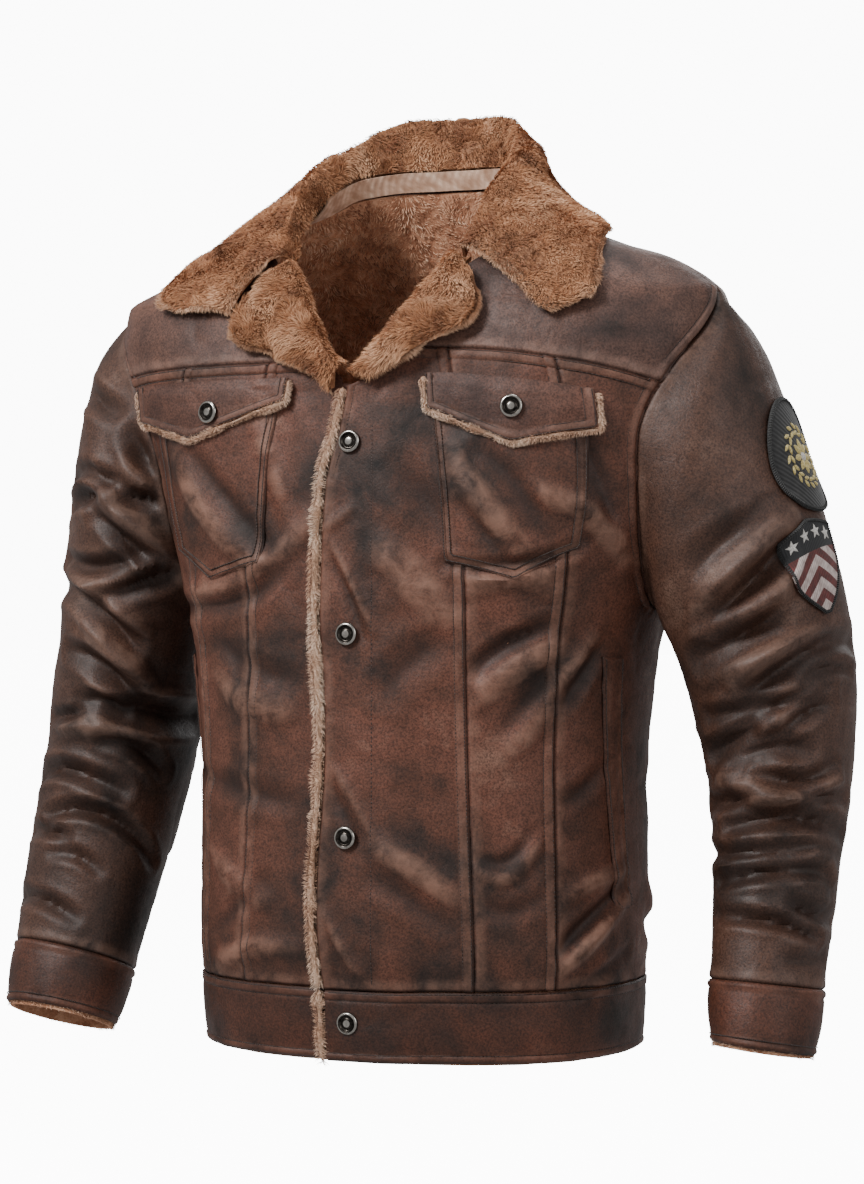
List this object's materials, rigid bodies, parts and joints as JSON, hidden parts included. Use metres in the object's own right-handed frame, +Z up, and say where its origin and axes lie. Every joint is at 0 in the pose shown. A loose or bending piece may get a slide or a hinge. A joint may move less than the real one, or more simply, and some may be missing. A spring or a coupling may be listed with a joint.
{
  "type": "leather jacket, worn form",
  "caption": "Hollow worn leather jacket with a folded fleece collar, flap pockets, press studs, a waistband and curved sleeves.",
  "frame": {"origin": "base of the neck, on the body's middle line, 0.660 m above the hem, where the wearer carries the jacket", "axes": "+Z up, the front faces -Y, the wearer's left is +X"},
  "size_m": [0.6849, 0.2835, 0.7341],
  "materials": {
    "leather": "distressed, soft sheen",
    "leather_worn": "distressed, lighter where it is worn",
    "fleece": "plush pile",
    "tape": "woven",
    "snap_metal": "darkened nickel, polished rim",
    "badge_cloth": "embroidered twill"
  },
  "bodies": {
    "root": {"back_lining": "fleece", "back_panel": "leather", "back_yoke": "leather", "badge_round": "badge_cloth", "badge_shield": "badge_cloth", "band_edge_fleece": "fleece", "body_lining": "fleece", "collar": "fleece", "cuff_left": "leather_worn", "cuff_lining_left": "fleece", "cuff_lining_right": "fleece", "cuff_right": "leather_worn", "flap_fleece_left": "fleece", "flap_fleece_right": "fleece", "flap_left": "leather_worn", "flap_right": "leather_worn", "flap_snap_left": "snap_metal", "flap_snap_right": "snap_metal", "front_centre_left": "leather", "front_centre_right": "leather", "front_edge_fleece": "fleece", "front_lining_left": "fleece", "front_lining_right": "fleece", "front_middle_left": "leather_worn", "front_middle_right": "leather_worn", "front_side_left": "leather", "front_side_right": "leather", "front_yoke_left": "leather", "front_yoke_right": "leather", "lapel_left": "fleece", "lapel_right": "fleece", "neck_tape": "tape", "pocket_left": "leather", "pocket_right": "leather", "sleeve_left": "leather", "sleeve_right": "leather", "snap_1": "snap_metal", "snap_2": "snap_metal", "snap_3": "snap_metal", "snap_4": "snap_metal", "waistband": "leather_worn", "welt_left": "leather", "welt_right": "leather"}
  },
  "joints": []
}
